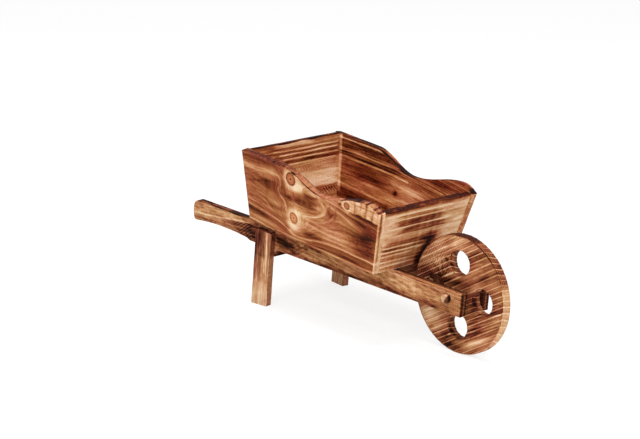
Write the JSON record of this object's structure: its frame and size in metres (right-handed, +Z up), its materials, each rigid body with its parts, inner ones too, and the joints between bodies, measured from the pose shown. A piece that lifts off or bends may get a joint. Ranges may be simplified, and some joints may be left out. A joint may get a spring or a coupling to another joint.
{
  "type": "wheelbarrow planter",
  "caption": "Small wooden wheelbarrow planter: a flared open box with swept sides on sloping handle rails, legs behind and a disc wheel that turns in front.",
  "frame": {"origin": "on the ground, below the middle of the whole barrow's length and width", "axes": "+X towards the wheel, +Y to the barrow's left, +Z up"},
  "size_m": [0.4706, 0.1632, 0.196],
  "materials": {
    "box_wood": "flamed and brushed, matt",
    "rail_wood": "lightly flamed, matt",
    "leg_wood": "lightly flamed, matt",
    "floor_wood": "flamed, matt",
    "wheel_wood": "flamed and brushed, matt",
    "dowel_wood": "plain turned, matt",
    "brad_steel": "dull wire"
  },
  "bodies": {
    "barrow": {"rail_left": "rail_wood", "rail_right": "rail_wood", "leg_left": "leg_wood", "leg_right": "leg_wood", "leg_crossbar": "leg_wood", "rail_tie": "leg_wood", "side_board_left": "box_wood", "side_board_right": "box_wood", "back_board": "box_wood", "front_board": "box_wood", "floor_board_left": "floor_wood", "floor_board_right": "floor_wood", "axle_dowel": "dowel_wood", "side_brads": "brad_steel", "end_brads": "brad_steel", "floor_brads": "brad_steel", "leg_brads": "brad_steel"},
    "wheel": {"wheel": "wheel_wood"}
  },
  "joints": [
    {"name": "wheel_spin", "type": "hinge", "parent": "barrow", "child": "wheel", "pos_m": [0.16484, 0, 0.0705], "axis": [0, 1, 0], "continuous": true}
  ]
}
